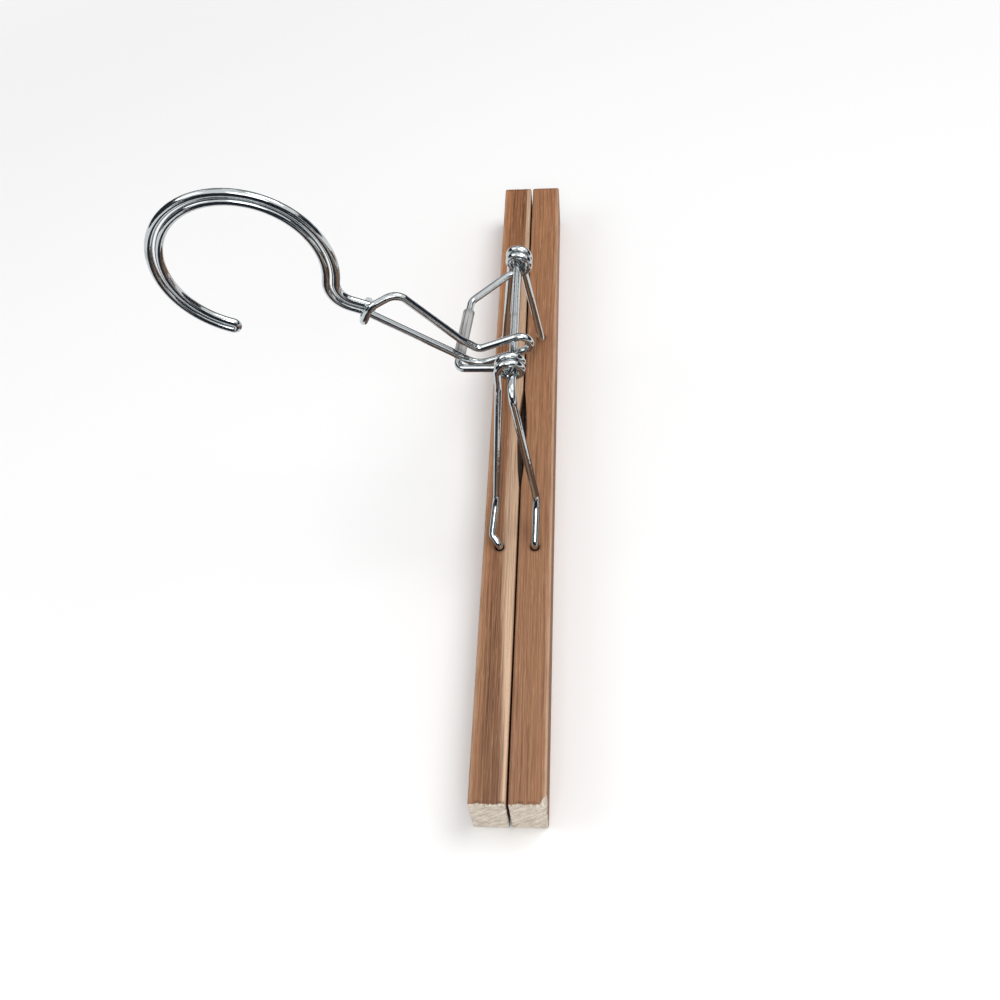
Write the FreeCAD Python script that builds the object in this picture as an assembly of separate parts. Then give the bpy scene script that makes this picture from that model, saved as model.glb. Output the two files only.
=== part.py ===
import FreeCAD, Part
import math
import os

# Skirt hanger: two cedar bars close like jaws on a hinge of bent wire.
# A doubled wire hook folds down on the same hinge pin.
# The model is laid out round the hinge pin: X to the right, Y along the bars, Z up.
# It is moved at the end, so that the origin is the rail's centre inside the hook.

Vector = FreeCAD.Vector
os.makedirs("parts", exist_ok=True)

# Wooden bars
bar_length = 245.0
bar_thickness = 10.0
bar_height = 17.0
bar_edge_round = 0.7
relief_length = 40.0
relief_depth = 1.2
relief_height = 7.0

# Felt strips in the faces of the jaws
strip_thickness = 1.2
strip_height = 7.0
strip_proud = 0.2
strip_end_margin = 12.0
strip_low_margin = 3.0
strip_fit = 0.05
jaw_gap = 0.2

# Wire of the whole hinge and hook. The pin has slipped a little towards the far end.
wire_diameter = 2.2
pin_height = 51.0
pin_right_of_seam = 1.0
pin_half_length = 28.8
pin_bend = 4.0
pin_slip = 1.8

# Legs, from the holes in the bars up to the pin
hole_half_spacing = 43.0
hole_clearance = 0.3
hole_overrun = 0.5
foot_depth = 11.0
foot_rise = 1.4
foot_bend = 2.0
ankle_outset = 2.2
ankle_inset = 2.5
ankle_height = 2.9
ankle_bend = 2.0
leg_knee_half_spacing = 32.5
leg_knee_height = 10.1
leg_knee_outset = 0.7
leg_knee_bend = 8.0

# Eyes of the left wire, loose on the pin: slipped further than it, the near one left of it, the far one right
near_eye_clearance = 1.15
near_eye_left = 0.8
far_eye_clearance = 0.7
far_eye_right = 0.35
turn_gap = 0.5
eye_quarter_turns = 7
eye_from_pin_bend = 5.1
eye_slip = 2.6
eye_lead = 5.0
eye_lead_bend = 7.0

# Thumb lever, the loop between the two eyes
lever_reach = 15.2
lever_skew = 1.3
lever_drop = 6.0
lever_half_width = 13.3
lever_lead = 3.0
lever_lead_bend = 5.0
lever_corner_bend = 2.8

# Sleeve on the cross wire of the lever
sleeve_diameter = 3.4
sleeve_length = 18.0
sleeve_fit = 0.1
sleeve_edge_round = 0.3

# Hook of doubled wire, drawn upright and then laid over to the left
hook_place = 9.3
hook_fold_degrees = 65.0
rail_height = 75.9
hook_radius = 22.9
hook_tip_degrees = 183.0
hook_pair_gap = 0.45
neck_radius = 7.2
neck_left = 1.7
neck_straight = 4.2
slot_width = 5.6
slot_past_pin = 2.2
slot_seat_gap = 0.3
slot_foot_bend = 6.0
slot_inner_bend = 2.4
lever_to_foot_right = 1.4
lever_to_foot_down = 5.5
lever_to_knee_right = 3.6
lever_to_knee_up = 3.3
knee_bend = 10.0
hump_right = 7.0
hump_below_pair = 6.0
hump_bend = 4.5

# Clasp: the end of the hook's wire, bent round the pair of wires
clasp_below_pair = 0.3
clasp_gap = 0.35
clasp_right = 1.7
clasp_bend = 4.0
clasp_tail = 2.0
short_end = 2.0

# Spacing of the points that measure how near a wire comes to itself
probe_step = 0.4

wire_radius = wire_diameter / 2
seam = jaw_gap + 2 * strip_proud
bar_middle = seam / 2 + bar_thickness / 2
eye_pitch = wire_diameter + turn_gap
pair_spacing = wire_diameter + hook_pair_gap
hook_fold = math.radians(hook_fold_degrees)


def unit(way):
    return way * (1 / way.Length)


def arc_in_corner(start, corner, end):
    """The arc that leaves start towards the corner and arrives at end from it."""
    chord_middle = (start + end) * 0.5
    bulge = corner - chord_middle
    half_chord = (end - start).Length / 2
    sagitta = half_chord * math.tan(math.atan2(bulge.Length, half_chord) / 2)
    return Part.Arc(start, chord_middle + unit(bulge) * sagitta, end).toShape()


def bent_run(points, bends):
    """Straight runs through the points, with a tangent arc in each inner corner."""
    edges = []
    last = points[0]
    for index, radius in enumerate(bends, start=1):
        corner = points[index]
        back = unit(points[index - 1] - corner)
        ahead = unit(points[index + 1] - corner)
        reach = radius / math.tan(back.getAngle(ahead) / 2)
        edges.append(Part.LineSegment(last, corner + back * reach).toShape())
        edges.append(arc_in_corner(corner + back * reach, corner, corner + ahead * reach))
        last = corner + ahead * reach
    edges.append(Part.LineSegment(last, points[-1]).toShape())
    return edges


def biarc(start, start_way, end, end_way):
    """Two tangent arcs from start to end with the given directions at the ends."""
    across = end - start
    ways = start_way + end_way
    bend = 2 * (1 - start_way.dot(end_way))
    along = across.dot(ways)
    reach = (math.sqrt(along ** 2 + bend * across.dot(across)) - along) / bend
    first_corner = start + start_way * reach
    last_corner = end - end_way * reach
    middle = (first_corner + last_corner) * 0.5
    return [arc_in_corner(start, first_corner, middle), arc_in_corner(middle, last_corner, end)]


def least_self_gap(edges, skip):
    """Smallest clear gap between stretches of one wire that lie over skip apart along it."""
    points = []
    travelled = 0
    for edge in edges:
        steps = math.ceil(edge.Length / probe_step)
        for step, point in enumerate(edge.discretize(Number=steps + 1)[:-1]):
            points.append((travelled + edge.Length * step / steps, point))
        travelled += edge.Length
    gaps = []
    for index, (place, point) in enumerate(points):
        for other_place, other in points[index + 1:]:
            if abs(other_place - place) > skip:
                gaps.append(point.distanceToPoint(other))
    return min(gaps) - wire_diameter


def swept_wire(edges, way, radius):
    """A round wire along the edges, which starts in the given direction."""
    spine = Part.Wire(edges)
    start = spine.OrderedVertexes[0].Point
    section = Part.Wire(Part.Circle(start, way, radius).toShape())
    body = spine.makePipeShell([section], True, False)
    expected = math.pi * radius ** 2 * spine.Length
    print("wire of", round(spine.Length, 1), "mm, volume ratio", round(body.Volume / expected, 4))
    return body


def whole_run(half):
    """The near half of a wire, and on through its far half. Both have slipped the same way."""
    far_half = [edge.mirror(Vector(0, 0, 0), Vector(0, 1, 0)) for edge in half(-1)]
    return half(1) + far_half[::-1]


def from_seam(offset):
    """X of a place given by its distance from the seam, to the right."""
    return offset - pin_right_of_seam


def leg_points(side):
    """Near leg of one wire: foot in its hole, bend over the bar, knee. Side is -1 or 1."""
    hole_x = from_seam(side * bar_middle)
    foot = Vector(hole_x, -hole_half_spacing, -pin_height - foot_depth)
    over_bar = Vector(hole_x, -hole_half_spacing, -pin_height + foot_rise)
    knee_x = from_seam(side * (bar_middle + leg_knee_outset))
    knee = Vector(knee_x, -leg_knee_half_spacing, -pin_height + leg_knee_height)
    return foot, over_bar, knee


# Bars: rounded planks with a strip recess, a relief and two holes for the legs


def bar(side):
    inner = from_seam(side * seam / 2)
    low = -pin_height - bar_height
    corner = Vector(min(inner, inner + side * bar_thickness), -bar_length / 2, low)
    plank = Part.makeBox(bar_thickness, bar_length, bar_height, corner)
    plank = plank.makeFillet(bar_edge_round, plank.Edges)
    relief_radius = ((relief_length / 2) ** 2 + relief_depth ** 2) / (2 * relief_depth)
    relief_middle = Vector(inner + side * (relief_depth - relief_radius), 0, -pin_height - relief_height)
    plank = plank.cut(Part.makeCylinder(relief_radius, bar_height, relief_middle))
    plank = plank.cut(strip_block(side, strip_fit))
    for end in (-1, 1):
        hole_depth = foot_depth + hole_overrun
        middle = from_seam(side * bar_middle)
        mouth = Vector(middle, end * hole_half_spacing, -pin_height - hole_depth)
        plank = plank.cut(Part.makeCylinder(wire_radius + hole_clearance, bar_height, mouth))
    return plank


def strip_block(side, fit):
    """The felt strip, or with a fit around it the recess that it is glued into."""
    face = from_seam(side * jaw_gap / 2)
    length = bar_length - 2 * strip_end_margin + 2 * fit
    low = -pin_height - bar_height + strip_low_margin - fit
    corner = Vector(min(face, face + side * strip_thickness), -length / 2, low)
    return Part.makeBox(strip_thickness, length, strip_height + 2 * fit, corner)


# Right wire: two legs, joined by the straight hinge pin


def hinge_half(slip_way):
    pin_corner = Vector(0, slip_way * pin_slip - pin_half_length, 0)
    points = [*leg_points(1), pin_corner, Vector(0, 0, 0)]
    return bent_run(points, [foot_bend, leg_knee_bend, pin_bend])


def hinge_frame():
    return swept_wire(whole_run(hinge_half), Vector(0, 0, 1), wire_radius)


# Left wire: two legs, an eye round the pin at each end, and the lever loop between them


def left_ankle():
    """Where the left wire, which leans out of its hole, turns up towards the knee."""
    x = from_seam(-bar_middle - ankle_outset)
    return Vector(x, -hole_half_spacing + ankle_inset, -pin_height + ankle_height)


def eye_seat(slip_way):
    """Radius of the near or far eye, and how far right of the pin's centre it sits."""
    if slip_way > 0:
        return wire_diameter + near_eye_clearance, -near_eye_left
    return wire_diameter + far_eye_clearance, far_eye_right


def eye_point(quarter, slip_way):
    """Point and direction of an eye, counted in quarter turns from its left side."""
    radius, right = eye_seat(slip_way)
    angle = math.pi - quarter * math.pi / 2
    start = slip_way * (pin_slip + eye_slip) - pin_half_length + eye_from_pin_bend
    out = Vector(math.cos(angle), 0, math.sin(angle))
    turning = Vector(math.sin(angle), 0, -math.cos(angle))
    along = Vector(0, 1, 0)
    centre = Vector(right, start + eye_pitch * quarter / 4, 0)
    return centre + out * radius, unit(turning * radius + along * (eye_pitch / (2 * math.pi)))


def lever_x(y):
    """X of the lever's cross wire, which runs a little askew, at a place along the bars."""
    return -lever_reach - lever_skew * (pin_slip - y) / lever_half_width


def lever_corner(slip_way):
    """Corner of the lever in the near half, or mirrored to it from the far half."""
    y = slip_way * pin_slip - lever_half_width
    return Vector(lever_x(slip_way * y), y, -lever_drop)


def lever_half(slip_way):
    eye_start, start_way = eye_point(0, slip_way)
    foot, over_bar, knee = leg_points(-1)
    points = [foot, over_bar, left_ankle(), knee, eye_start - start_way * eye_lead, eye_start]
    edges = bent_run(points, [foot_bend, ankle_bend, leg_knee_bend, eye_lead_bend])
    for quarter in range(eye_quarter_turns):
        edges += biarc(*eye_point(quarter, slip_way), *eye_point(quarter + 1, slip_way))
    eye_end, end_way = eye_point(eye_quarter_turns, slip_way)
    middle = Vector(lever_x(0), 0, -lever_drop)
    points = [eye_end, eye_end + end_way * lever_lead, lever_corner(slip_way), middle]
    edges += bent_run(points, [lever_lead_bend, lever_corner_bend])
    half_turn = math.pi * eye_seat(slip_way)[0]
    print("lever frame's least gap to itself", round(least_self_gap(edges, half_turn), 2))
    return edges


def lever_frame():
    return swept_wire(whole_run(lever_half), Vector(0, 0, 1), wire_radius)


def lever_sleeve():
    """A short tube on the cross wire of the lever, with rounded ends."""
    near = lever_corner(1)
    far = lever_corner(-1)
    far.y = -far.y
    way = unit(far - near)
    start = (near + far) * 0.5 - way * (sleeve_length / 2)
    tube = Part.makeCylinder(sleeve_diameter / 2, sleeve_length, start, way)
    tube = tube.cut(Part.makeCylinder(wire_radius + sleeve_fit, sleeve_length, start, way))
    middle_radius = (sleeve_diameter + wire_diameter) / 4
    rims = [edge for edge in tube.Edges if edge.Closed and edge.Curve.Radius > middle_radius]
    return tube.makeFillet(sleeve_edge_round, rims)


# Hook: both wires are drawn upright in one plane, as right and up from the pin


def laid_over(right, up):
    """A point of the upright hook, turned about the pin to where the hook rests."""
    x = right * math.cos(hook_fold) - up * math.sin(hook_fold)
    z = right * math.sin(hook_fold) + up * math.cos(hook_fold)
    return Vector(x, -hook_place, z)


def hook_arc(centre, radius, first, last):
    """An arc of the hook about a centre given as right and up, between two angles."""
    places = []
    for angle in (first, (first + last) / 2, last):
        right = centre[0] + radius * math.cos(angle)
        places.append(laid_over(right, centre[1] + radius * math.sin(angle)))
    return Part.Arc(*places).toShape()


def neck_centre():
    """Centre of the neck's bend: it meets the hook's arc and the upright pair of wires."""
    right = neck_radius - neck_left
    rise = math.sqrt((hook_radius + neck_radius) ** 2 - right ** 2)
    return right, rail_height - rise


def pair_foot():
    """Height at which the two wires come together below the neck."""
    return neck_centre()[1] - neck_straight


def lever_in_hook():
    """The lever's cross wire, seen in the upright hook's plane."""
    reach = lever_x(-hook_place)
    right = reach * math.cos(hook_fold) - lever_drop * math.sin(hook_fold)
    up = -reach * math.sin(hook_fold) - lever_drop * math.cos(hook_fold)
    return right, up


def outer_corners():
    """Foot and knee of the hook's outer strand, which clears the lever's cross wire."""
    lever_right, lever_up = lever_in_hook()
    foot = Vector(lever_right + lever_to_foot_right, lever_up - lever_to_foot_down, 0)
    knee = Vector(lever_right + lever_to_knee_right, lever_up + lever_to_knee_up, 0)
    return foot, knee


def slot_layout():
    """Corners of the slot for the pin, and the way along it, in the upright hook's plane."""
    foot, knee = outer_corners()
    seat = wire_radius + slot_seat_gap + wire_radius
    to_pin = math.atan2(-foot.y, -foot.x) - math.asin(seat / foot.Length)
    along = Vector(math.cos(to_pin), math.sin(to_pin), 0)
    over = Vector(-along.y, along.x, 0)
    rise = unit(knee - foot)
    right_of_rise = Vector(rise.y, -rise.x, 0)
    bend_tangent = math.tan(rise.getAngle(along) / 2)
    inner_foot = foot + over * slot_width + along * (slot_width / bend_tangent)
    inner_knee = knee + right_of_rise * slot_width
    bight = along * slot_past_pin + over * (slot_width / 2 - seat)
    return inner_foot, inner_knee, along, over, bight


def clasp_points():
    """The clasp's front bend, and where it turns round the outer wire, right of and above the pin."""
    knee = outer_corners()[1]
    outer_right = -neck_left - pair_spacing / 2
    up = pair_foot() - clasp_below_pair
    lean = (knee.x - outer_right) / (pair_foot() - knee.y)
    front = Vector(-neck_left + pair_spacing / 2 + clasp_right, up, 0)
    turn = Vector(outer_right + lean * clasp_below_pair, up, 0)
    return front, turn


def clasp_edges(start, inner_knee):
    """The inner strand from the slot over the hump, and the clasp round both wires of the pair."""
    front, turn = clasp_points()
    aside = Vector(0, wire_diameter + clasp_gap, 0)
    hump = laid_over(hump_right, pair_foot() - hump_below_pair)
    bend = laid_over(front.x, front.y) - aside
    centre = laid_over(turn.x, turn.y)
    left = laid_over(-aside.Length, 0) - laid_over(0, 0)
    points = [*start, laid_over(inner_knee.x, inner_knee.y), hump, bend, centre - aside]
    edges = bent_run(points, [slot_inner_bend, knee_bend, hump_bend, clasp_bend])
    edges.append(Part.Arc(centre - aside, centre + left, centre + aside).toShape())
    end = laid_over(turn.x + clasp_tail, turn.y) + aside
    edges.append(Part.LineSegment(centre + aside, end).toShape())
    return edges


def hook_edges():
    """One wire: up the pair, round the tip, back down, round the pin and into the clasp."""
    foot, knee = outer_corners()
    inner_foot, inner_knee, along, over, bight = slot_layout()
    neck = neck_centre()
    rail = (0, rail_height)
    tip = math.radians(hook_tip_degrees)
    half_pair = pair_spacing / 2
    inflection = math.atan2(neck[1] - rail_height, neck[0])
    neck_end = inflection + math.pi
    tip_middle = (hook_radius * math.cos(tip), rail_height + hook_radius * math.sin(tip))
    left = -neck_left - half_pair
    right = -neck_left + half_pair
    short_foot = laid_over(right, pair_foot() - clasp_below_pair - short_end)
    edges = [Part.LineSegment(short_foot, laid_over(right, neck[1])).toShape()]
    edges.append(hook_arc(neck, neck_radius - half_pair, math.pi, neck_end))
    edges.append(hook_arc(rail, hook_radius + half_pair, inflection, tip))
    edges.append(hook_arc(tip_middle, half_pair, tip, tip + math.pi))
    edges.append(hook_arc(rail, hook_radius - half_pair, tip, inflection))
    edges.append(hook_arc(neck, neck_radius + half_pair, neck_end, math.pi))
    side = over * (slot_width / 2)
    turn = [bight - side, bight + along * (slot_width / 2), bight + side]
    outer = [(left, neck[1]), (left, pair_foot()), knee, foot, turn[0]]
    outer_run = [laid_over(point[0], point[1]) for point in outer]
    edges += bent_run(outer_run, [knee_bend, knee_bend, slot_foot_bend])
    edges.append(Part.Arc(*[laid_over(point.x, point.y) for point in turn]).toShape())
    inner_start = [laid_over(point.x, point.y) for point in (turn[2], inner_foot)]
    return edges + clasp_edges(inner_start, inner_knee)


def hook():
    edges = hook_edges()
    print("hook's least gap to itself", round(least_self_gap(edges, math.pi * slot_width / 2), 2))
    return swept_wire(edges, laid_over(0, 1) - laid_over(0, 0), wire_radius)


rail_centre = laid_over(0, rail_height)
pieces = {
    "left_bar": bar(-1),
    "right_bar": bar(1),
    "left_grip_strip": strip_block(-1, 0),
    "right_grip_strip": strip_block(1, 0),
    "hinge_frame": hinge_frame(),
    "lever_frame": lever_frame(),
    "lever_sleeve": lever_sleeve(),
    "hook": hook(),
}
for name, shape in pieces.items():
    shape.translate(-rail_centre)
    shape.exportStep("parts/" + name + ".step")
    print(name, shape.isValid(), len(shape.Solids), round(shape.Volume, 1))
print("pin at", -rail_centre)
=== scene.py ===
# %% [markdown]
# # A cedar skirt hanger
# Two cedar bars are pressed together by a bent-wire hinge, and a doubled wire makes the hook.
# The shapes come from the measured model. It is loaded here as a fixed frame, in metres, and
# this lesson gives it its wood, its bright wire, its felt lining, a camera and studio light.

# %% Load the frame
import math

import bmesh
import bpy
from mathutils import Matrix, Vector


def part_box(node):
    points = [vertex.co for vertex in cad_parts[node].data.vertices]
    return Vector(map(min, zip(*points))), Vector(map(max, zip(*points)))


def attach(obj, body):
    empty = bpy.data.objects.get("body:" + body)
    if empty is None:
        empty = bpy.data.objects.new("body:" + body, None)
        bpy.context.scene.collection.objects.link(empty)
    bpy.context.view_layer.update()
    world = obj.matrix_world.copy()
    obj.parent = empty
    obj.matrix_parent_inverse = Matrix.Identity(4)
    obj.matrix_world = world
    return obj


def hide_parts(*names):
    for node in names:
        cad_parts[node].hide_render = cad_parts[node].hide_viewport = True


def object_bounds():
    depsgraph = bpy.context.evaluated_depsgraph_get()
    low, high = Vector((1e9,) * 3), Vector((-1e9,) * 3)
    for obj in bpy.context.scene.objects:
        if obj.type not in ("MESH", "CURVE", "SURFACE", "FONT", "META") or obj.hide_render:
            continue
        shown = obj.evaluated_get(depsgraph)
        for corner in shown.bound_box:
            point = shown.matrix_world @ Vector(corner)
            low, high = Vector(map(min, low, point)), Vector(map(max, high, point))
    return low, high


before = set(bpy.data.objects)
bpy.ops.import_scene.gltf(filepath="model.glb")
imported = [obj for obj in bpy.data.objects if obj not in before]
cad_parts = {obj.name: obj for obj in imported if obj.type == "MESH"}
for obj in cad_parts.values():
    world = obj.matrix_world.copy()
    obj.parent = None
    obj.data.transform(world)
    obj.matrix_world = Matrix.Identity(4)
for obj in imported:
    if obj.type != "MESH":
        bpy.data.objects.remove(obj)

MM = 0.001
measured_box = [list(corner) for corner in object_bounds()]
print("measured box in metres:", measured_box)

# %% [markdown]
# ## The camera
# The picture was taken from above the near end of the bars, a little to their right.
# The place and the lens were worked out from the corners of the two bars, whose sizes are known.
# A camera looks along its own -Z, so its matrix holds right, up and backwards as columns.

# %% Place the camera
EYE = Vector((0.0916014, -0.2130800, 0.1929192))
LOOK = Vector((-0.08755, 0.57842, -0.81103)).normalized()
RIGHT = Vector((0.99612, 0.04397, -0.07617)).normalized()
FOCAL_LENGTH = 39.6
SENSOR_WIDTH = 36.0
CLIP_START = 10 * MM

camera_data = bpy.data.cameras.new("view")
camera_data.sensor_fit = "HORIZONTAL"
camera_data.sensor_width = SENSOR_WIDTH
camera_data.lens = FOCAL_LENGTH
camera_data.clip_start = CLIP_START
camera = bpy.data.objects.new("view", camera_data)
camera_up = RIGHT.cross(LOOK).normalized()
camera_axes = Matrix((RIGHT, camera_up, -LOOK)).transposed()
camera.matrix_world = Matrix.Translation(EYE) @ camera_axes.to_4x4()
bpy.context.scene.collection.objects.link(camera)
bpy.context.scene.camera = camera
print("camera looks down by", round(math.degrees(math.asin(-LOOK.z)), 1), "degrees")

# %% [markdown]
# ## Writing shaders as sums
# A material is a chain of small nodes. Long chains read better as arithmetic, so one class
# wraps a socket: adding or multiplying two of them adds the Math node that does it.
# Every other node comes from one method, which takes its type, its settings and its inputs.

# %% A socket with operators
class Flow:
    """One socket in a node tree, with Python's arithmetic."""

    def __init__(self, tree, socket=None):
        self.tree = tree
        self.socket = socket

    def node(self, kind, settings, inputs, output=0):
        made = self.tree.nodes.new(kind)
        for name, value in settings.items():
            setattr(made, name, value)
        for place, value in inputs.items():
            if isinstance(value, Flow):
                self.tree.links.new(value.socket, made.inputs[place])
            else:
                made.inputs[place].default_value = value
        return Flow(self.tree, made.outputs[output])

    def maths(self, operation, first, *others):
        values = dict(enumerate((first,) + others))
        return self.node("ShaderNodeMath", {"operation": operation}, values)

    def __add__(self, other):
        return self.maths("ADD", self, other)

    def __radd__(self, other):
        return self.maths("ADD", other, self)

    def __sub__(self, other):
        return self.maths("SUBTRACT", self, other)

    def __rsub__(self, other):
        return self.maths("SUBTRACT", other, self)

    def __mul__(self, other):
        return self.maths("MULTIPLY", self, other)

    def __rmul__(self, other):
        return self.maths("MULTIPLY", other, self)

    def __truediv__(self, other):
        return self.maths("DIVIDE", self, other)

    def __pow__(self, other):
        return self.maths("POWER", self, other)

    def __abs__(self):
        return self.maths("ABSOLUTE", self)

    def least(self, other):
        return self.maths("MINIMUM", self, other)

    def most(self, other):
        return self.maths("MAXIMUM", self, other)

    def rise(self, low, high, bottom=0.0, top=1.0):
        """A soft step: bottom below low, top above high."""
        settings = {"interpolation_type": "SMOOTHSTEP"}
        inputs = {0: self, 1: low, 2: high, 3: bottom, 4: top}
        return self.node("ShaderNodeMapRange", settings, inputs)

    def mix(self, first, second):
        """A colour between two colours, with this value as the share of the second."""
        settings = {"data_type": "RGBA"}
        return self.node("ShaderNodeMix", settings, {0: self, 6: first, 7: second}, 2)


# %% Colours and materials
def tint(red, green, blue):
    """A colour as seen on a screen, 0 to 255, as the linear value that a shader needs."""
    steps = [value / 255 for value in (red, green, blue)]
    linear = [s / 12.92 if s <= 0.04045 else ((s + 0.055) / 1.055) ** 2.4 for s in steps]
    return (*linear, 1.0)


def start_material(name):
    """A new material with one Principled shader: returns it, its flow and the shader."""
    material = bpy.data.materials.new(name)
    material.use_nodes = True
    tree = material.node_tree
    shader = next(n for n in tree.nodes if n.type == "BSDF_PRINCIPLED")
    return material, Flow(tree), shader


def join(value, target, socket):
    value.tree.links.new(value.socket, target.inputs[socket])


def raise_surface(height, shader):
    """Shades the surface as if it stood up by height, in millimetres."""
    inputs = {"Strength": 1.0, "Distance": MM, "Height": height}
    join(height.node("ShaderNodeBump", {}, inputs), shader, "Normal")


def dress(pieces, material):
    """Gives every piece this material and no other."""
    for piece in pieces:
        piece.data.materials.clear()
        piece.data.materials.append(material)


print("a mid brown is", [round(v, 3) for v in tint(150, 110, 82)])

# %% Places and noise
# Materials count in millimetres, because the marks on wood and wire are that small.
WORLD_AXES = ((1, 0, 0), (0, 1, 0), (0, 0, 1))


def millimetres(flow, centre, axes=WORLD_AXES):
    """Object coordinates in millimetres from centre, along three axes, as three values."""
    spot = flow.node("ShaderNodeTexCoord", {}, {}, "Object")
    moved = flow.node("ShaderNodeVectorMath", {"operation": "SUBTRACT"}, {0: spot, 1: centre})
    dot = {"operation": "DOT_PRODUCT"}
    ways = [{0: moved, 1: Vector(axis) / MM} for axis in axes]
    return [flow.node("ShaderNodeVectorMath", dot, way, "Value") for way in ways]


def speckle(across, along, up, detail=2.0, roughness=0.5):
    """Noise from 0 to 1 at the given place; a small factor stretches it along that way."""
    spot = across.node("ShaderNodeCombineXYZ", {}, {0: across, 1: along, 2: up})
    inputs = {"Vector": spot, "Scale": 1.0, "Detail": detail, "Roughness": roughness}
    return across.node("ShaderNodeTexNoise", {}, inputs)


def even_speckle(space, rate, detail=2.0, roughness=0.5):
    """Noise that looks the same along every axis, with rate as its spots to a millimetre."""
    across, along, up = space
    return speckle(across * rate, along * rate, up * rate, detail, roughness)


def swing(noise):
    """The same noise about 0, for pushing a value both ways."""
    return noise - 0.5


# %% [markdown]
# ## Cedar: where the rings run
# A bar is a stick sawn out of a trunk, so its grain isn't painted on: the top, the sides and the
# ends all cut through the same growth rings. Here the rings are shells about a core that runs
# along the bar, below and to the left of it. The top then shows long straight lines, the end shows
# slanting ones, and the pale sapwood is the outermost corner of the same stick.

# %% The rings of one stick
CORE_DISTANCE = 70.0
CORE_SLANT = math.radians(45)
RING_SPACING = 0.8
# Bends of the trunk: how many to a millimetre across and along, and how far they push a ring.
RING_BENDS = ((0.05, 0.007, 2.0), (0.22, 0.03, 0.45))
DRIFT_RATE = 0.45
DRIFT_RINGS = 1.6
# Shares of one ring's width.
LATE_GROWS = (0.3, 0.88)
LATE_STOPS = (0.93, 1.0)
FAINTEST_RING = 0.15


def ring_depth(space, seed):
    """Millimetres outwards from the ring that passes through the middle of the bar's top."""
    across, along, up = space
    beside = across + CORE_DISTANCE * math.cos(CORE_SLANT)
    above = up + CORE_DISTANCE * math.sin(CORE_SLANT)
    depth = (beside * beside + above * above) ** 0.5 - CORE_DISTANCE
    for side_rate, length_rate, push in RING_BENDS:
        bend = speckle(across * side_rate + seed, along * length_rate, up * side_rate, 1.0)
        depth = depth + swing(bend) * push
    return depth


def late_lines(depth, seed):
    """Dark summer wood: each ring darkens slowly outwards and ends sharply."""
    count = depth / RING_SPACING + speckle(depth * DRIFT_RATE, seed, 0.0) * DRIFT_RINGS
    part = count.maths("FRACT", count)
    whole = count.maths("FLOOR", count)
    one_way = {"noise_dimensions": "1D"}
    strength = depth.node("ShaderNodeTexWhiteNoise", one_way, {"W": whole + seed})
    line = part.rise(*LATE_GROWS) * (1 - part.rise(*LATE_STOPS))
    return line * (FAINTEST_RING + (1 - FAINTEST_RING) * strength * strength)


print("rings every", RING_SPACING, "mm about a core", CORE_DISTANCE, "mm away")

# %% [markdown]
# ## Cedar: marks along the grain
# Wood is a bundle of long fibres, so nearly every mark on it is drawn out along the bar. One table
# holds the marks by size: soft streaks, fibres, fine hairs, short dark dashes, pale flecks and slow
# clouds. With them come the wandering of the sapwood, the patches of the painted edge highlight,
# and the torn and sawn roughness of the ends.

# %% Noise drawn out along the bar
# For each mark: how many to a millimetre across and along, then the noise's detail and roughness.
MARKS = {
    "streak": (1.1, 0.025, 3.0, 0.6),
    "fibre": (3.8, 0.04, 3.0, 0.75),
    "hair": (13.0, 0.5, 2.0, 0.6),
    "dash": (2.8, 0.1, 1.0, 0.5),
    "fleck": (2.4, 0.16, 1.0, 0.5),
    "cloud": (0.3, 0.015, 3.0, 0.5),
    "wander": (0.3, 0.03, 2.0, 0.5),
    "patchiness": (0.8, 0.12, 3.0, 0.5),
    "torn": (1.1, 0.3, 3.0, 0.7),
    "rough_cut": (2.4, 2.4, 3.0, 0.7),
}


def drawn_marks(space, seed):
    """One noise value per mark, each shifted by its own step so that no two look alike."""
    across, along, up = space
    marks = {}
    for step, (name, rates) in enumerate(MARKS.items(), start=1):
        side_rate, length_rate, detail, roughness = rates
        side = across * side_rate + seed * step
        marks[name] = speckle(side, along * length_rate, up * side_rate, detail, roughness)
    return marks


print(len(MARKS), "marks:", ", ".join(MARKS))

# %% [markdown]
# ## Cedar: heartwood, sapwood and sawn ends
# The heartwood is a pinkish brown that turns to amber towards the far end. The sapwood is nearly
# cream, and the sawn ends are pale and rough. Each is a function of its own, so that the sum at the
# end stays readable.

# %% Three kinds of surface
HEART_EARLY = tint(170, 125, 91)
HEART_LATE = tint(82, 49, 32)
HEART_RED = tint(140, 92, 65)
AMBER_EARLY = tint(184, 128, 86)
AMBER_LATE = tint(84, 46, 22)
FLECK_PALE = tint(200, 158, 128)
SAP_PALE = tint(224, 190, 160)
SAP_LINE = tint(140, 108, 84)
END_PALE = tint(238, 228, 212)
END_LINE = tint(128, 106, 90)
HEART_CONTRAST = 0.95
SAP_CONTRAST = 0.9
# The part of a noise's range in which a cloud, or a spot such as a dash, comes up.
CLOUD_RANGE = (0.4, 0.75)
SPOT_RANGE = (0.6, 0.75)
FLECK_SHARE = 0.3
DASH_SHARE = 0.22
END_DIRT = 0.28
END_CONTRAST = {"line": 0.25, "rough_cut": 1.1, "scratch": 1.9}


def heartwood(grain, darkness, marks, far_share, red_share):
    early = far_share.mix(HEART_EARLY, AMBER_EARLY)
    late = far_share.mix(HEART_LATE, AMBER_LATE)
    brown = (grain * HEART_CONTRAST + darkness).mix(early, late)
    brown = (marks["cloud"].rise(*CLOUD_RANGE) * red_share).mix(brown, HEART_RED)
    brown = (marks["fleck"].rise(*SPOT_RANGE) * FLECK_SHARE).mix(brown, FLECK_PALE)
    return (marks["dash"].rise(*SPOT_RANGE) * DASH_SHARE).mix(brown, HEART_LATE)


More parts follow.
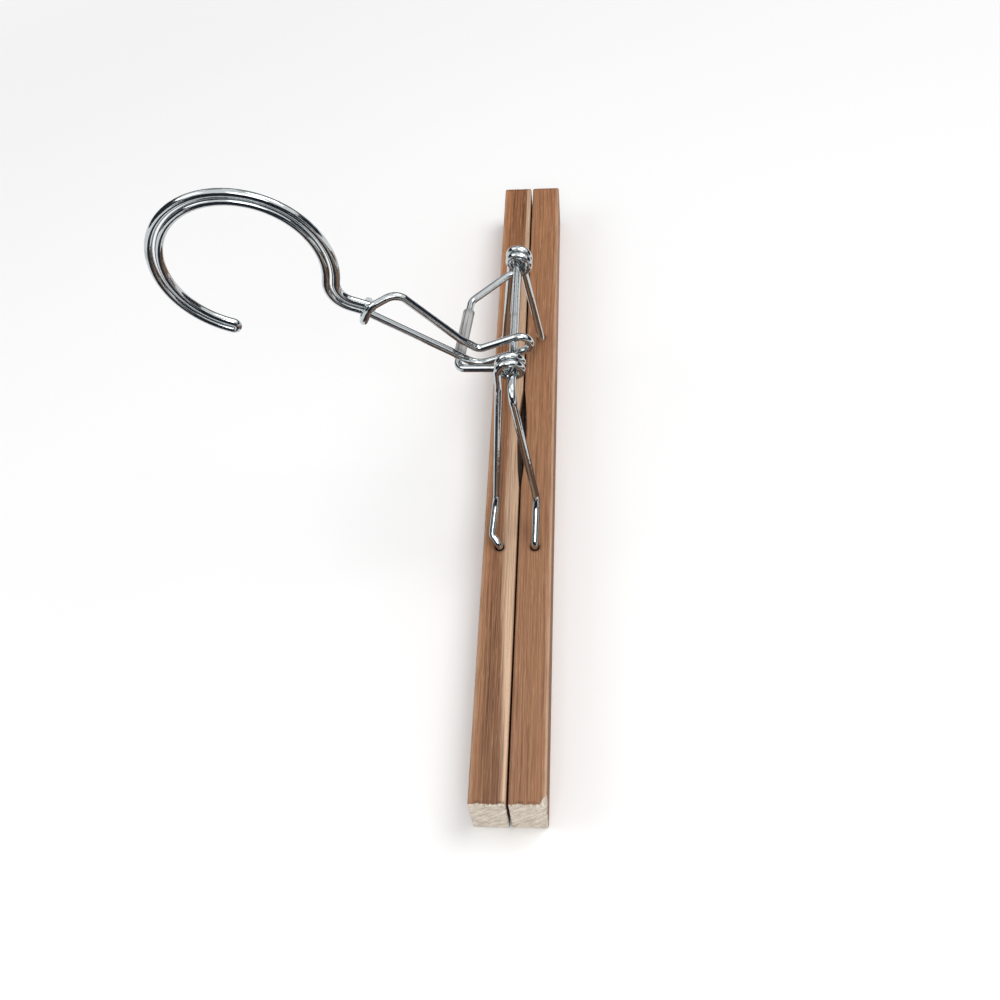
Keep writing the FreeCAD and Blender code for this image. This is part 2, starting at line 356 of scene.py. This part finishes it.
def sapwood(grain, dullness):
    return (grain * SAP_CONTRAST + dullness).mix(SAP_PALE, SAP_LINE)


def sawn_end(line, rough_cut, scratch):
    dirt = line * END_CONTRAST["line"] + swing(rough_cut) * END_CONTRAST["rough_cut"]
    dirt = dirt + swing(scratch) * END_CONTRAST["scratch"] + END_DIRT
    return dirt.mix(END_PALE, END_LINE)


# %% [markdown]
# ## Cedar: where each kind lies
# All of this is worked out from the distance to the bar's own faces, so it stays on the bar in any
# pose. The sapwood is a strip along the seam. The long edges get a painted highlight, pale where
# their rounding would catch the light, and the saw has torn the rim of the ends.

# %% The sapwood and the painted edge highlight
# Places along the bar are shares of half its length, from -1 at the near end to 1 at the far one.
SAP_GROWS = (-1.0, -0.30)
SAP_NARROWS = (-0.25, 0.9)
SAP_LEAN = 0.8
SAP_WANDER = 1.2
SAP_STREAK = 1.1
SAP_BLUR = (-0.9, 1.1)
# The painted highlight along the long edges: its band in millimetres, its patches, and its least
# share.
EDGE_BAND = 1.3
EDGE_PATCH_RANGE = (0.3, 0.65)
LEAST_EDGE_HIGHLIGHT = 0.3
OUTER_FROM = 1.0


def bar_space(flow, node):
    """Millimetres from the middle of the bar's top, that middle, and the bar's size."""
    low, high = (Vector(corner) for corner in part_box(node))
    top_middle = Vector(((low.x + high.x) / 2, (low.y + high.y) / 2, high.z))
    return millimetres(flow, top_middle), top_middle, (high - low) / MM


def rise_along(along, size, places, bottom=0.0, top=1.0):
    """A soft step between two places along the bar."""
    start, stop = (place * size.y / 2 for place in places)
    return along.rise(start, stop, bottom, top)


def sap_share(space, size, marks, profile):
    """The profile holds the strip's width at the near end, the middle and the far end."""
    across, along, up = space
    near, middle, far = profile
    width = rise_along(along, size, SAP_GROWS, near, middle)
    width = width + rise_along(along, size, SAP_NARROWS, 0.0, far - middle)
    uneven = swing(marks["wander"]) * SAP_WANDER + swing(marks["streak"]) * SAP_STREAK
    inward = size.x / 2 - across - up * SAP_LEAN + uneven
    return 1 - (inward - width).rise(*SAP_BLUR)


def edge_highlight_mask(space, size, marks, outer):
    """A painted highlight along the long edges, strongest on the outer side, which is -1 for left
    and 1 for right.
    """
    across, _, up = space
    beside = abs(across) - (size.x / 2 - EDGE_BAND)
    over = (up + EDGE_BAND).most(EDGE_BAND - size.z - up)
    patchiness = marks["patchiness"].rise(*EDGE_PATCH_RANGE, LEAST_EDGE_HIGHLIGHT, 1.0)
    outside = (across * outer).rise(-OUTER_FROM, OUTER_FROM, LEAST_EDGE_HIGHLIGHT, 1.0)
    return beside.least(over).rise(0.0, 1.0) * patchiness * outside


# %% The ends
END_DEPTH = 0.5
END_TEAR = 1.6
END_BLUR = (-0.1, 0.15)
RIM_WIDTH = 1.1
RIM_BLUR = 0.9
RIM_RANGE = (0.42, 0.6)
CHIP_SIDE = 0.8
CHIP_LENGTH = 0.5
CHIP_TEAR = 2.0
CHIP_BLUR = (1.5, 1.9)
CHIP_FLOOR = (-6.0, -4.5)


def end_shares(space, size, marks, chipped):
    """The sawn ends, with a chipped near corner where chipped is 1, and the torn rim inside."""
    across, along, up = space
    tear = swing(marks["torn"])
    past_end = abs(along) - (size.y / 2 - END_DEPTH) + tear * END_TEAR
    from_side = (size.x / 2 - across) * CHIP_SIDE
    corner = from_side + (along + size.y / 2) * CHIP_LENGTH + tear * CHIP_TEAR
    chip = (1 - corner.rise(*CHIP_BLUR)) * up.rise(*CHIP_FLOOR) * chipped
    rim = (past_end + RIM_WIDTH).rise(0.0, RIM_BLUR) * marks["torn"].rise(*RIM_RANGE)
    return past_end.rise(*END_BLUR).most(chip), rim


# %% [markdown]
# ## Cedar: painted shade round the holes
# Each wire goes into its bar through two drilled holes. Shade is painted round them, dark at the
# rim and fading outwards. The feet of the wire in the frame show where the holes are.

# %% Find the holes and paint shade round them
FOOT_HEIGHT = 1 * MM
# How far the painted shade reaches from a hole's middle, and how deep into the bar it goes, in
# millimetres.
HOLE_SHADE_REACH = (1.2, 2.3)
HOLE_SHADE_FLOOR = (-12.0, -11.0)


def foot_ys(node):
    """Where the two feet of a wire go into the wood: the middles of its lowest points."""
    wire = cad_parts[node]
    points = [wire.matrix_world @ vertex.co for vertex in wire.data.vertices]
    lowest = min(point.z for point in points)
    feet = [point.y for point in points if point.z < lowest + FOOT_HEIGHT]
    between = (min(feet) + max(feet)) / 2
    sides = [[y for y in feet if y < between], [y for y in feet if y >= between]]
    return [(min(side) + max(side)) / 2 for side in sides]


def hole_shade(space, top_middle, hole_ys):
    """Painted shade, dark near the rim of a hole in the middle of the bar's top, fading outwards
    and down.
    """
    across, along, up = space
    offsets = [along - (hole_y - top_middle.y) / MM for hole_y in hole_ys]
    rounds = [(across * across + off * off) ** 0.5 for off in offsets]
    return sum(1 - away.rise(*HOLE_SHADE_REACH) for away in rounds) * up.rise(*HOLE_SHADE_FLOOR)


hole_ys = foot_ys("hinge_frame")
print("holes at y =", [round(y / MM, 1) for y in hole_ys], "mm")

# %% [markdown]
# ## Cedar: one bar
# A bar adds the parts up: first the heartwood, bleached on its outer side, then the sapwood, the
# painted highlight on the edges, the ends and the painted shade round the holes. The same lines and
# fibres also raise the surface a little, so that light catches the grain.

# %% The colour of one bar
# The colour of the painted shade round the holes.
HOLE_SHADE_DARK = tint(52, 32, 22)
EDGE_HIGHLIGHT = tint(202, 168, 142)
TORN_DARK = tint(96, 62, 44)
# Shares of the bar's width, counted outwards from its middle.
BLEACH_FROM = 0.05
BLEACH_TO = 0.42
AMBER_GROWS = (-1.1, 1.0)
SAP_DULLS = (-0.8, -0.3)
SAP_DULLNESS = (0.05, 0.4)
SAP_SHARE = 0.92
# How strongly the painted highlight on the edges shows.
EDGE_HIGHLIGHT_SHARE = 0.45
TORN_SHARE = 0.7
# How strongly the painted shade round the holes shows.
HOLE_SHADE_SHARE = 0.6


def bar_colour(space, top_middle, size, marks, grain, ends, edge_highlight, look):
    across, along, _ = space
    outward = (across * look["outer"]).rise(BLEACH_FROM * size.x, BLEACH_TO * size.x)
    dark = look["darkness"] - outward * look["bleach"]
    amber = rise_along(along, size, AMBER_GROWS) * look["far_share"]
    wood = heartwood(grain, dark, marks, amber, look["red_share"])
    dullness = rise_along(along, size, SAP_DULLS, *SAP_DULLNESS)
    sap = sap_share(space, size, marks, look["sap_profile"])
    wood = (sap * SAP_SHARE).mix(wood, sapwood(grain, dullness))
    # Painted highlight along the long edges, where their rounding would catch the light.
    wood = (edge_highlight * EDGE_HIGHLIGHT_SHARE).mix(wood, EDGE_HIGHLIGHT)
    end, rim, end_wood = ends
    wood = (rim * TORN_SHARE).mix(wood, TORN_DARK)
    wood = end.mix(wood, end_wood)
    # Painted shade round the holes where the wires go in, dark at the rim and fading outwards.
    return (hole_shade(space, top_middle, hole_ys) * HOLE_SHADE_SHARE).mix(wood, HOLE_SHADE_DARK)


# %% Build the cedar of one bar
GRAIN = {"line": 0.3, "streak": 0.5, "fibre": 2.4}
# The saw leaves scratches that slant across the end, this many to a millimetre along and across.
SCRATCH_LONG = 0.16
SCRATCH_WIDE = 0.5
RELIEF = {"streak": 0.05, "fibre": 0.05, "hair": 0.02}
LINE_RELIEF = 0.03
DASH_RELIEF = 0.04
CUT_RELIEF = 0.08
SCRATCH_RELIEF = 0.12
WOOD_ROUGH = 0.52
FIBRE_ROUGH = 0.18
END_ROUGH = 0.2
EDGE_SMOOTH = 0.1
WOOD_SHINE = 0.3


def cedar(name, node, seed, **look):
    material, flow, shader = start_material(name)
    space, top_middle, size = bar_space(flow, node)
    across, _, up = space
    marks = drawn_marks(space, seed)
    line = late_lines(ring_depth(space, seed), seed)
    grain = line * GRAIN["line"]
    grain = grain + swing(marks["streak"]) * GRAIN["streak"]
    grain = grain + swing(marks["fibre"]) * GRAIN["fibre"]
    end, rim = end_shares(space, size, marks, look["chipped"])
    slant = (across + up) * SCRATCH_LONG + seed
    scratch = speckle(slant, 0.0, (across - up) * SCRATCH_WIDE, 5.0, 0.7)
    ends = end, rim, sawn_end(line, marks["rough_cut"], scratch)
    # Where the painted highlight on the edges lies; the same edges are also a little smoother.
    edge_highlight = edge_highlight_mask(space, size, marks, look["outer"])
    wood = bar_colour(space, top_middle, size, marks, grain, ends, edge_highlight, look)

    height = line * LINE_RELIEF
    for mark, relief in RELIEF.items():
        height = height + marks[mark] * relief
    height = height - marks["dash"].rise(*SPOT_RANGE) * DASH_RELIEF
    height = height + end * (marks["rough_cut"] * CUT_RELIEF + scratch * SCRATCH_RELIEF)
    rough = WOOD_ROUGH + marks["fibre"] * FIBRE_ROUGH + end * END_ROUGH - edge_highlight * EDGE_SMOOTH
    join(wood, shader, "Base Color")
    join(rough, shader, "Roughness")
    raise_surface(height, shader)
    shader.inputs["Specular IOR Level"].default_value = WOOD_SHINE
    dress([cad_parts[node]], material)
    print(name, "on", node, "with", len(material.node_tree.nodes), "nodes")


# %% Dress the two bars
cedar("left_cedar", "left_bar", seed=3.7, outer=-1, sap_profile=(1.1, 3.8, 1.4),
      darkness=0.57, bleach=0.32, red_share=0.25, far_share=1.0, chipped=0.0)
cedar("right_cedar", "right_bar", seed=11.3, outer=1, sap_profile=(0.2, 0.3, 0.2),
      darkness=0.30, bleach=0.10, red_share=0.35, far_share=0.6, chipped=1.0)

# %% [markdown]
# ## Bright wire
# The wire is steel with a bright plating. A mirror shows its surroundings, so its own material
# needs little: the grey of polished chromium, a low roughness that drifts, faint rubbed patches
# where the wires work against each other, and shallow dents from bending the wire.

# %% The plating
PLATE_BRIGHT = tint(196, 201, 203)
PLATE_DULL = tint(156, 155, 153)
PATCH_RATE = 0.22
GRIT_RATE = 6.0
DENT_RATE = 0.7
GRIT_IN_PATCH = 0.35
RUB_RANGE = (0.52, 0.74)
RUB_SHARE = 0.55
PLATE_ROUGH = 0.06
RUB_ROUGH = 0.12
GRIT_ROUGH = 0.05
DENT_RELIEF = 0.03
GRIT_RELIEF = 0.0007


def bright_wire(name, nodes):
    material, flow, shader = start_material(name)
    space = millimetres(flow, (0.0, 0.0, 0.0))
    patch = even_speckle(space, PATCH_RATE, 3.0, 0.6)
    grit = even_speckle(space, GRIT_RATE, 2.0, 0.6)
    dent = even_speckle(space, DENT_RATE)
    rub = (patch + swing(grit) * GRIT_IN_PATCH).rise(*RUB_RANGE)
    join((rub * RUB_SHARE).mix(PLATE_BRIGHT, PLATE_DULL), shader, "Base Color")
    join(PLATE_ROUGH + rub * RUB_ROUGH + grit * GRIT_ROUGH, shader, "Roughness")
    raise_surface(dent * DENT_RELIEF + grit * GRIT_RELIEF, shader)
    shader.inputs["Metallic"].default_value = 1.0
    dress([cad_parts[node] for node in nodes], material)
    print(name, "on", nodes)


bright_wire("bright_wire", ["hinge_frame", "lever_frame", "hook"])

# %% [markdown]
# ## The sleeve on the lever
# A short grey tube sits on the lever's cross wire, where the thumb presses. It is drawn plastic, so
# faint lines run along it, and thumbs have rubbed its middle smoother and a little paler than its
# ends.

# %% The sleeve's plastic
SLEEVE_GREY = tint(178, 178, 177)
SLEEVE_DARK = tint(84, 82, 82)
SLEEVE_PALE = tint(190, 189, 188)
# The tube's dark ends start and stop this far from its rim.
TUBE_END_FROM = 2.6
TUBE_END_TO = 0.2
TUBE_END_WANDER = 2.0
TUBE_END_SHARE = 0.5
DRAWN_CONTRAST = 6.0
GRIME_CONTRAST = 0.3
SLEEVE_DIRT = 0.2
PALE_RANGE = (0.4, 0.6)
PALE_SHARE = 0.25
SLEEVE_ROUGH = 0.28
TUBE_END_ROUGH = 0.2
DRAWN_ROUGH = 0.12
DRAWN_RELIEF = 0.08
GRIME_RELIEF = 0.03


def tube_ends(node):
    """The middles of a tube's near and far end, from the rims of its mesh."""
    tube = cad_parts[node]
    points = [tube.matrix_world @ vertex.co for vertex in tube.data.vertices]
    middle_y = sum(point.y for point in points) / len(points)
    rims = [[p for p in points if p.y < middle_y], [p for p in points if p.y >= middle_y]]
    return [sum(rim, Vector()) / len(rim) for rim in rims]


def sleeve_plastic(name, node):
    near_end, far_end = tube_ends(node)
    half_length = (far_end - near_end).length / 2 / MM
    axis = (far_end - near_end).normalized()
    side = axis.cross((0, 0, 1)).normalized()
    material, flow, shader = start_material(name)
    tube_axes = (side, axis, side.cross(axis))
    across, along, up = millimetres(flow, (near_end + far_end) / 2, tube_axes)
    drawn = speckle(across * 1.2, along * 0.03, up * 1.2, 2.0, 0.6)
    grime = speckle(across * 0.6, along * 0.35, up * 0.6, 3.0, 0.6)
    outward = abs(along) + swing(grime) * TUBE_END_WANDER
    to_end = outward.rise(half_length - TUBE_END_FROM, half_length - TUBE_END_TO)
    dirt = swing(drawn) * DRAWN_CONTRAST + grime * GRIME_CONTRAST + SLEEVE_DIRT
    colour = dirt.mix(SLEEVE_GREY, SLEEVE_DARK)
    patchiness = (1 - to_end) * grime.rise(*PALE_RANGE)
    colour = (patchiness * PALE_SHARE).mix(colour, SLEEVE_PALE)
    colour = (to_end * TUBE_END_SHARE).mix(colour, SLEEVE_DARK)
    join(colour, shader, "Base Color")
    join(SLEEVE_ROUGH + to_end * TUBE_END_ROUGH + drawn * DRAWN_ROUGH, shader, "Roughness")
    raise_surface(drawn * DRAWN_RELIEF + grime * GRIME_RELIEF, shader)
    dress([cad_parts[node]], material)
    print(name, "on", node, "half length", round(half_length, 2), "mm")


sleeve_plastic("sleeve_plastic", "lever_sleeve")

# %% [markdown]
# ## Felt linings
# Each jaw holds the cloth with a strip of pressed felt, glued into a shallow recess. Felt is cut
# with a blade, so the strip has square ends, but its edges fray and its face is never quite flat.
# A block is stretched to the recess, cut into short lengths, rounded, and then shaken a little.

# %% Model the two strips
FELT_STEP = 1.5 * MM
FELT_ROUND = 0.22 * MM
FELT_ROUND_STEPS = 3
FELT_SHAKE = 0.035 * MM
FELT_INSET = 0.03 * MM
# The strip is cut along its length and its height, not through its thickness.
CUT_AXES = (1, 2)
NEARLY_STRAIGHT = 0.99
SHARP = 0.5


def felt_strip(name, node, body, seed):
    low, high = (Vector(corner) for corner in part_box(node))
    size = high - low - Vector((FELT_INSET, FELT_INSET, FELT_INSET)) * 2
    bpy.ops.object.select_all(action="DESELECT")
    bpy.ops.mesh.primitive_cube_add(size=1.0, location=(low + high) / 2)
    strip = bpy.context.object
    strip.name = name
    strip.data.name = name
    strip.scale = size
    bpy.ops.object.transform_apply(location=True, rotation=True, scale=True)
    bpy.ops.object.mode_set(mode="EDIT")
    mesh = bmesh.from_edit_mesh(strip.data)
    for axis in CUT_AXES:
        for edge in mesh.edges:
            way = (edge.verts[0].co - edge.verts[1].co).normalized()
            edge.select = abs(way[axis]) > NEARLY_STRAIGHT
        bmesh.update_edit_mesh(strip.data)
        bpy.ops.mesh.subdivide(number_cuts=max(1, round(size[axis] / FELT_STEP) - 1))
        mesh = bmesh.from_edit_mesh(strip.data)
    for edge in mesh.edges:
        faces = edge.link_faces
        edge.select = len(faces) == 2 and faces[0].normal.dot(faces[1].normal) < SHARP
    bmesh.update_edit_mesh(strip.data)
    bpy.ops.mesh.bevel(offset=FELT_ROUND, segments=FELT_ROUND_STEPS, affect="EDGES")
    bpy.ops.mesh.select_all(action="SELECT")
    bpy.ops.transform.vertex_random(offset=FELT_SHAKE, seed=seed)
    bpy.ops.mesh.normals_make_consistent(inside=False)
    bpy.ops.object.mode_set(mode="OBJECT")
    bpy.ops.object.shade_smooth()
    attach(strip, body)
    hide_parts(node)
    print(name, "has", len(strip.data.polygons), "faces")
    return strip


felt_pieces = [
    felt_strip("left_felt", "left_grip_strip", "left_jaw", 5),
    felt_strip("right_felt", "right_grip_strip", "right_jaw", 9),
]

# %% [markdown]
# ## The felt's fibres
# Felt has no weave. Short fibres lie in every direction, so noise at three sizes is mixed: tufts,
# single fibres and a few pale hairs. The face scatters light softly, which a rough shader with some
# sheen gives.

# %% The felt material
FELT_DARK = tint(48, 36, 30)
FELT_MID = tint(112, 92, 78)
FELT_HAIR = tint(158, 138, 122)
TUFT_RATE = 0.6
# How far the tufts push the fibres aside, and the fibres the hairs.
TUFT_PUSH = 2.0
FIBRE_PUSH = 3.0
HAIR_RANGE = (0.58, 0.68)
HAIR_SHARE = 0.5
TUFT_CONTRAST = 1.8
FIBRE_CONTRAST = 2.0
FELT_TONE = 0.45
TUFT_RELIEF = 0.3
FIBRE_RELIEF = 0.3
HAIR_RELIEF = 0.08


def felt(name, pieces):
    material, flow, shader = start_material(name)
    space = millimetres(flow, (0.0, 0.0, 0.0))
    across, along, up = space
    tuft = even_speckle(space, TUFT_RATE, 4.0, 0.7)
    push = tuft * TUFT_PUSH
    fibre = speckle(across * 2.0, along * 1.1 + push, up * 2.6 + push, 4.0, 0.75)
    hair = speckle(across * 3.0, along * 3.4 + fibre * FIBRE_PUSH, up * 1.2).rise(*HAIR_RANGE)
    tone = swing(tuft) * TUFT_CONTRAST + swing(fibre) * FIBRE_CONTRAST + FELT_TONE
    colour = tone.mix(FELT_DARK, FELT_MID)
    join((hair * HAIR_SHARE).mix(colour, FELT_HAIR), shader, "Base Color")
    raise_surface(tuft * TUFT_RELIEF + fibre * FIBRE_RELIEF + hair * HAIR_RELIEF, shader)
    shader.inputs["Roughness"].default_value = 0.95
    shader.inputs["Specular IOR Level"].default_value = 0.1
    shader.inputs["Sheen Weight"].default_value = 0.25
    shader.inputs["Sheen Roughness"].default_value = 0.6
    dress(pieces, material)
    print(name, "on", [piece.name for piece in pieces])


felt("pressed_felt", felt_pieces)

# %% [markdown]
# ## The table
# The hanger lies on a white table, which keeps its shadow. Far from the hanger the table fades into
# the white room. The fade is only for rays that show a picture: for light the table stays a table.

# %% The table
FLOOR_HALF = 3.0
FLOOR_DROP = 0.1 * MM
TABLE_WHITE = (0.96, 0.96, 0.96, 1.0)
PURE_WHITE = (1.0, 1.0, 1.0, 1.0)
# Millimetres from the middle of the hanger.
FADE_FROM = 220.0
FADE_TO = 600.0


def shown_share(flow):
    """1 for rays from the camera, a mirror or glass, and 0 for rays that only light things."""
    kinds = ("Is Camera Ray", "Is Glossy Ray", "Is Transmission Ray")
    rays = [flow.node("ShaderNodeLightPath", {}, {}, kind) for kind in kinds]
    return rays[0].most(rays[1]).most(rays[2])


middle = Vector([(a + b) / 2 for a, b in zip(*measured_box)])
floor_height = min(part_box(node)[0][2] for node in ("left_bar", "right_bar")) - FLOOR_DROP
bpy.ops.object.select_all(action="DESELECT")
bpy.ops.mesh.primitive_plane_add(size=2 * FLOOR_HALF, location=(0, 0, floor_height))
table = bpy.context.object
table.name = "table"
table_material, table_flow, table_shader = start_material("white_table")
table_shader.inputs["Base Color"].default_value = TABLE_WHITE
table_shader.inputs["Roughness"].default_value = 0.9
table_shader.inputs["Specular IOR Level"].default_value = 0.1
table_across, table_along, _ = millimetres(table_flow, (middle.x, middle.y, 0.0))
away = (table_across * table_across + table_along * table_along) ** 0.5
fade = away.rise(FADE_FROM, FADE_TO) * shown_share(table_flow)
lit = Flow(table_flow.tree, table_shader.outputs[0])
blank = table_flow.node("ShaderNodeEmission", {}, {"Color": PURE_WHITE, "Strength": 1.0})
paper = table_flow.node("ShaderNodeMixShader", {}, {0: fade, 1: lit, 2: blank})
table_end = next(n for n in table_flow.tree.nodes if n.type == "OUTPUT_MATERIAL")
join(paper, table_end, "Surface")
table.data.materials.append(table_material)
print("table at", round(floor_height / MM, 2), "mm")

# %% [markdown]
# ## Light
# The room is white wherever it is seen, but it lights the hanger only by half. Three soft lamps do
# the rest: a key lamp from the right, one in front, and a weak one from the left.

# %% The room and the lamps
ROOM_LIGHT = 0.5
# For each lamp: its place and the side of its square in metres, then its power in watts.
LAMPS = [
    ("key", (0.45, 0.15, 0.80), 0.50, 3.6),
    ("front", (0.10, -0.62, 0.60), 0.45, 2.4),
    ("side", (-0.60, -0.15, 0.55), 0.40, 1.0),
]

room = bpy.data.worlds.new("room")
room.use_nodes = True
bpy.context.scene.world = room
room_flow = Flow(room.node_tree)
room_end = next(n for n in room.node_tree.nodes if n.type == "OUTPUT_WORLD")
white, soft = (
    room_flow.node("ShaderNodeBackground", {}, {"Color": PURE_WHITE, "Strength": strength})
    for strength in (1.0, ROOM_LIGHT)
)
shown = room_flow.node("ShaderNodeMixShader", {}, {0: shown_share(room_flow), 1: soft, 2: white})
join(shown, room_end, "Surface")


def lamp(name, place, side, power):
    data = bpy.data.lights.new(name, "AREA")
    data.shape = "SQUARE"
    data.size = side
    data.energy = power
    light = bpy.data.objects.new(name, data)
    light.location = place
    light.rotation_euler = (middle - Vector(place)).to_track_quat("-Z", "Y").to_euler()
    bpy.context.scene.collection.objects.link(light)


for lamp_row in LAMPS:
    lamp(*lamp_row)
print("room light", ROOM_LIGHT, "and lamps", [lamp_row[0] for lamp_row in LAMPS])

# %% [markdown]
# ## What the wire mirrors
# Bright wire has no colour of its own, so what stands around it matters. In a white room it would
# look like paper. A few dark, grey and brown boards, which only mirrors see, draw the lines along
# the wire that make it look like metal.

# %% Boards that only mirrors see
BOARD_DARK = (0.015, 0.020, 0.030, 1.0)
BOARD_GREY = (0.55, 0.56, 0.57, 1.0)
BOARD_BROWN = (0.13, 0.075, 0.05, 1.0)
LOW = floor_height + 0.3 * MM
FLAT = (0.0, 0.0, 0.0)
FACING_ACROSS = (0.0, 90.0, 0.0)
FACING_ALONG = (90.0, 0.0, 0.0)
FACING_DOWN = (-38.0, 0.0, 0.0)
# For each board: its colour, its place in metres, its turn in degrees, and its sides in metres.
BOARDS = [
    ("left_board", BOARD_DARK, (-0.60, 0.05, 0.14), FACING_ACROSS, (0.44, 1.3)),
    ("right_board", BOARD_DARK, (0.75, 0.05, 0.14), FACING_ACROSS, (0.44, 1.3)),
    ("far_board", BOARD_DARK, (0.05, 0.80, 0.20), FACING_ALONG, (1.4, 0.56)),
    ("near_board", BOARD_DARK, (0.05, -0.50, 0.09), FACING_ALONG, (0.9, 0.38)),
    ("hook_board", BOARD_DARK, (-0.05, -0.20, 0.02), FACING_ALONG, (0.16, 0.22)),
    ("high_board_1", BOARD_GREY, (-0.30, 0.50, 0.64), FACING_DOWN, (0.22, 0.45)),
    ("high_board_2", BOARD_GREY, (0.12, 0.50, 0.64), FACING_DOWN, (0.22, 0.45)),
    ("hook_low_board", BOARD_DARK, (-0.045, -0.17, LOW), FLAT, (0.13, 0.22)),
    ("left_low_board", BOARD_BROWN, (0.038, -0.045, LOW), FLAT, (0.035, 0.19)),
    ("right_low_board_1", BOARD_BROWN, (0.1055, -0.045, LOW), FLAT, (0.050, 0.19)),
    ("right_low_board_2", BOARD_BROWN, (0.2050, -0.045, LOW), FLAT, (0.110, 0.19)),
    ("near_low_board_1", BOARD_BROWN, (0.062, -0.280, LOW), FLAT, (0.084, 0.28)),
    ("near_low_board_2", BOARD_BROWN, (0.200, -0.280, LOW), FLAT, (0.120, 0.28)),
]


def mirror_board(name, colour, place, turn, size):
    material, _, shader = start_material(name)
    shader.inputs["Base Color"].default_value = colour
    shader.inputs["Roughness"].default_value = 1.0
    angles = [math.radians(degrees) for degrees in turn]
    bpy.ops.object.select_all(action="DESELECT")
    bpy.ops.mesh.primitive_plane_add(size=1.0, location=place, rotation=angles)
    board = bpy.context.object
    board.name = name
    board.scale = (*size, 1.0)
    board.data.materials.append(material)
    board.visible_camera = False
    board.visible_diffuse = False
    board.visible_shadow = False


for board_row in BOARDS:
    mirror_board(*board_row)
print("boards:", [board_row[0] for board_row in BOARDS])

# %% [markdown]
# ## Tones
# The picture's tones are shown as they are, without a film look.

# %% Finish
bpy.context.scene.view_settings.view_transform = "Standard"
